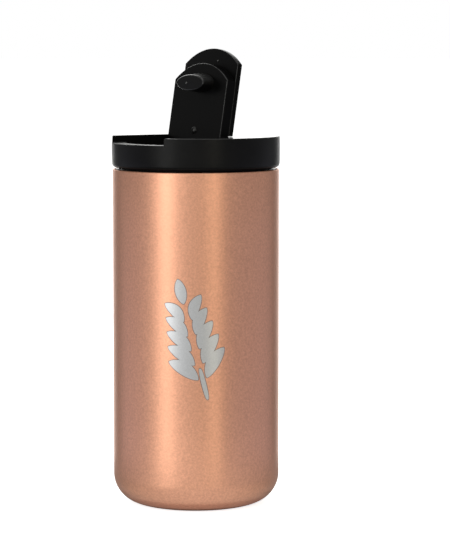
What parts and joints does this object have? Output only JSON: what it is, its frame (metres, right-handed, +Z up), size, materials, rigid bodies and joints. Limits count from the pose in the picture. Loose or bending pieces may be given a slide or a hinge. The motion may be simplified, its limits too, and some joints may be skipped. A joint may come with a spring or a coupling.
{
  "type": "insulated drinking flask with flip lid",
  "caption": "Double-wall vacuum drinking flask: straight copper-coated steel body with a round bottom edge, and a black screw lid whose flip-up flap plugs the drinking slot.",
  "frame": {"origin": "centre of the flat foot ring, on the surface that the flask stands on", "axes": "+Z up along the flask's axis; -Y is the front, where the engraved emblem is; the flap and the drinking side head 57.7 degrees from the front towards -X"},
  "size_m": [0.075, 0.075, 0.2032],
  "materials": {
    "copper_coat": "copper powder coat with a fine satin grain, on steel",
    "steel": "brushed stainless steel",
    "copper_foil": "thin bright copper foil",
    "port_alloy": "dull grey sintered or soldered metal",
    "black_plastic": "fine-textured matte moulding",
    "black_rubber": "soft matte silicone rubber",
    "white_foam": "expanded bead foam"
  },
  "bodies": {
    "vessel": {"outer_shell": "copper_coat", "inner_liner": "steel", "liner_bottom": "steel", "foil_wrap": "copper_foil", "base_plate": "steel", "port_seal": "port_alloy", "base_cover": "copper_coat", "getter": "port_alloy"},
    "seal": {"lid_gasket": "black_rubber"},
    "lid": {"lid_cover": "black_plastic", "lid_plug": "black_plastic", "lid_insulation": "white_foam", "hinge_pin_left": "steel", "hinge_pin_right": "steel"},
    "flap": {"flap_cover": "black_plastic", "flap_tray": "black_plastic", "slot_stopper": "black_rubber", "vent_plug": "black_rubber"}
  },
  "joints": [
    {"name": "lid_rise", "type": "slide", "parent": "vessel", "child": "seal", "axis": [0, 0, 1], "range_m": [0, 0.0063]},
    {"name": "lid_turn", "type": "hinge", "parent": "seal", "child": "lid", "pos_m": [0, 0, 0.1518], "axis": [0, 0, 1], "range_deg": [0, 450]},
    {"name": "flap_hinge", "type": "hinge", "parent": "lid", "child": "flap", "pos_m": [0.00296, 0.00187, 0.1627], "axis": [0.5344, -0.8453, 0], "range_deg": [0, 99]}
  ],
  "couplings": [
    {"joint": "lid_rise", "follows": "lid_turn", "m_per_rad": 0.00079577}
  ]
}
